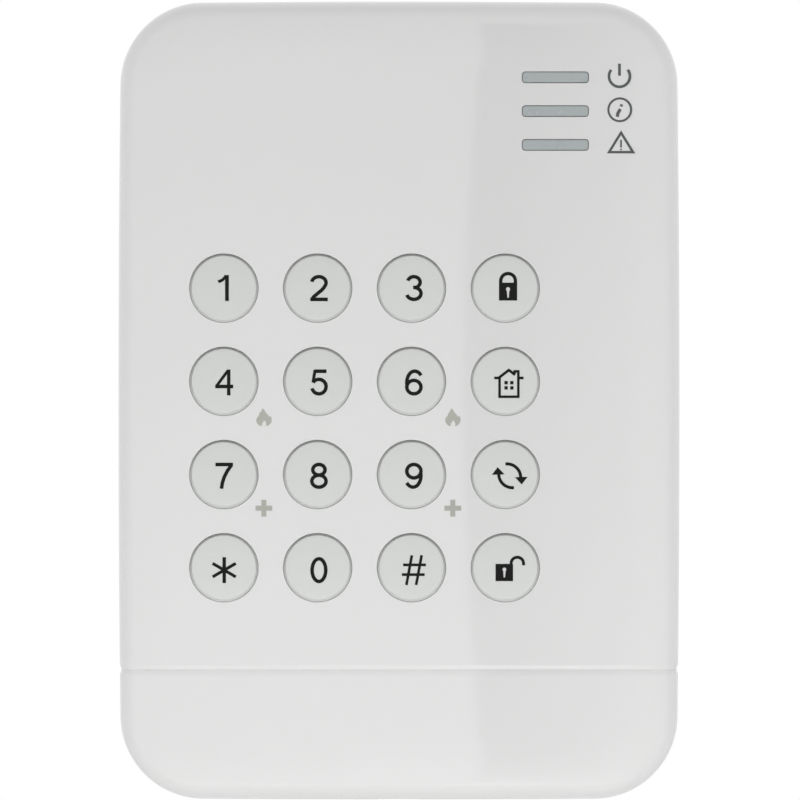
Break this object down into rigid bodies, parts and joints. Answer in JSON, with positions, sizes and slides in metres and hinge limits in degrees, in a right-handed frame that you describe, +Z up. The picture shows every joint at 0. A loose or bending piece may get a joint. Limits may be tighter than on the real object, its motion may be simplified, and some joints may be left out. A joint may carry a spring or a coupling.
{
  "type": "alarm keypad",
  "caption": "Wall-mounted alarm keypad with round push keys, status light bars and a front unit that swings open from a fixed rear base.",
  "frame": {"origin": "centre of the four wall-screw holes, in the wall plane at the back of the rear base", "axes": "+Z up and +X to the right as seen from the front, so the front faces -Y and +Y points into the wall"},
  "size_m": [0.09, 0.023, 0.128],
  "materials": {
    "cover_plastic": "gloss white ABS, moulded",
    "base_plastic": "fine spark-eroded white ABS",
    "key_plastic": "satin, slightly translucent grey",
    "silicone": "matte silicone",
    "carbon": "printed carbon",
    "lamp": "moulded lamp body",
    "lens": "satin translucent",
    "black_plastic": "moulded black nylon",
    "board": "green solder mask over glass epoxy",
    "chip": "moulded epoxy",
    "tinned_steel": "tinned sheet",
    "copper_wire": "bare copper wire",
    "aluminium_can": "drawn can",
    "nickel_plate": "nickel-plated spring steel",
    "cell_sleeve": "printed shrink sleeve",
    "zinc_steel": "zinc-plated steel"
  },
  "bodies": {
    "base": {"rear_base": "base_plastic", "tamper_spring": "nickel_plate"},
    "front_unit": {"front_cover": "cover_plastic", "lower_fascia": "cover_plastic", "key_mat": "silicone", "key_contacts": "carbon", "key_leds": "lamp", "light_guide": "lens", "light_shroud": "black_plastic", "status_leds": "lamp", "main_board": "board", "microcontroller": "chip", "crystal": "tinned_steel", "radio_can": "tinned_steel", "antenna": "copper_wire", "regulator": "chip", "capacitor": "aluminium_can", "chip_parts": "chip", "program_header": "black_plastic", "sounder": "black_plastic", "battery_holder": "black_plastic", "battery_contacts": "nickel_plate", "battery_springs": "nickel_plate", "battery_cells": "cell_sleeve", "tamper_switch": "black_plastic", "board_screws": "zinc_steel"},
    "tamper_plunger": {"tamper_pin": "base_plastic"},
    "tamper_cap": {"tamper_button": "key_plastic"},
    "lock": {"lock_screw": "zinc_steel"},
    "key_1_cap": {"key_1": "key_plastic"},
    "key_2_cap": {"key_2": "key_plastic"},
    "key_3_cap": {"key_3": "key_plastic"},
    "key_arm_cap": {"key_arm": "key_plastic"},
    "key_4_cap": {"key_4": "key_plastic"},
    "key_5_cap": {"key_5": "key_plastic"},
    "key_6_cap": {"key_6": "key_plastic"},
    "key_home_cap": {"key_home": "key_plastic"},
    "key_7_cap": {"key_7": "key_plastic"},
    "key_8_cap": {"key_8": "key_plastic"},
    "key_9_cap": {"key_9": "key_plastic"},
    "key_status_cap": {"key_status": "key_plastic"},
    "key_star_cap": {"key_star": "key_plastic"},
    "key_0_cap": {"key_0": "key_plastic"},
    "key_hash_cap": {"key_hash": "key_plastic"},
    "key_disarm_cap": {"key_disarm": "key_plastic"}
  },
  "joints": [
    {"name": "cover_swing", "type": "hinge", "parent": "base", "child": "front_unit", "pos_m": [0, -0.0034, 0.0604], "axis": [-1, 0, 0], "range_deg": [0, 25]},
    {"name": "lock_turn_out", "type": "slide", "parent": "base", "child": "lock", "axis": [0, 0, -1], "range_m": [0, 0.004]},
    {"name": "tamper_pin_slide", "type": "slide", "parent": "base", "child": "tamper_plunger", "axis": [0, 1, 0], "range_m": [0, 0.0015], "stiffness_N_per_m": 300, "deforming": ["tamper_spring"]},
    {"name": "tamper_button_press", "type": "slide", "parent": "front_unit", "child": "tamper_cap", "axis": [0, -1, 0], "range_m": [0, 0.0004], "stiffness_N_per_m": 1500},
    {"name": "key_1_press", "type": "slide", "parent": "front_unit", "child": "key_1_cap", "axis": [0, 1, 0], "range_m": [0, 0.0009], "stiffness_N_per_m": 1500, "deforming": ["key_mat"]},
    {"name": "key_2_press", "type": "slide", "parent": "front_unit", "child": "key_2_cap", "axis": [0, 1, 0], "range_m": [0, 0.0009], "stiffness_N_per_m": 1500},
    {"name": "key_3_press", "type": "slide", "parent": "front_unit", "child": "key_3_cap", "axis": [0, 1, 0], "range_m": [0, 0.0009], "stiffness_N_per_m": 1500},
    {"name": "key_arm_press", "type": "slide", "parent": "front_unit", "child": "key_arm_cap", "axis": [0, 1, 0], "range_m": [0, 0.0009], "stiffness_N_per_m": 1500},
    {"name": "key_4_press", "type": "slide", "parent": "front_unit", "child": "key_4_cap", "axis": [0, 1, 0], "range_m": [0, 0.0009], "stiffness_N_per_m": 1500},
    {"name": "key_5_press", "type": "slide", "parent": "front_unit", "child": "key_5_cap", "axis": [0, 1, 0], "range_m": [0, 0.0009], "stiffness_N_per_m": 1500},
    {"name": "key_6_press", "type": "slide", "parent": "front_unit", "child": "key_6_cap", "axis": [0, 1, 0], "range_m": [0, 0.0009], "stiffness_N_per_m": 1500},
    {"name": "key_home_press", "type": "slide", "parent": "front_unit", "child": "key_home_cap", "axis": [0, 1, 0], "range_m": [0, 0.0009], "stiffness_N_per_m": 1500},
    {"name": "key_7_press", "type": "slide", "parent": "front_unit", "child": "key_7_cap", "axis": [0, 1, 0], "range_m": [0, 0.0009], "stiffness_N_per_m": 1500},
    {"name": "key_8_press", "type": "slide", "parent": "front_unit", "child": "key_8_cap", "axis": [0, 1, 0], "range_m": [0, 0.0009], "stiffness_N_per_m": 1500},
    {"name": "key_9_press", "type": "slide", "parent": "front_unit", "child": "key_9_cap", "axis": [0, 1, 0], "range_m": [0, 0.0009], "stiffness_N_per_m": 1500},
    {"name": "key_status_press", "type": "slide", "parent": "front_unit", "child": "key_status_cap", "axis": [0, 1, 0], "range_m": [0, 0.0009], "stiffness_N_per_m": 1500},
    {"name": "key_star_press", "type": "slide", "parent": "front_unit", "child": "key_star_cap", "axis": [0, 1, 0], "range_m": [0, 0.0009], "stiffness_N_per_m": 1500},
    {"name": "key_0_press", "type": "slide", "parent": "front_unit", "child": "key_0_cap", "axis": [0, 1, 0], "range_m": [0, 0.0009], "stiffness_N_per_m": 1500},
    {"name": "key_hash_press", "type": "slide", "parent": "front_unit", "child": "key_hash_cap", "axis": [0, 1, 0], "range_m": [0, 0.0009], "stiffness_N_per_m": 1500},
    {"name": "key_disarm_press", "type": "slide", "parent": "front_unit", "child": "key_disarm_cap", "axis": [0, 1, 0], "range_m": [0, 0.0009], "stiffness_N_per_m": 1500}
  ]
}
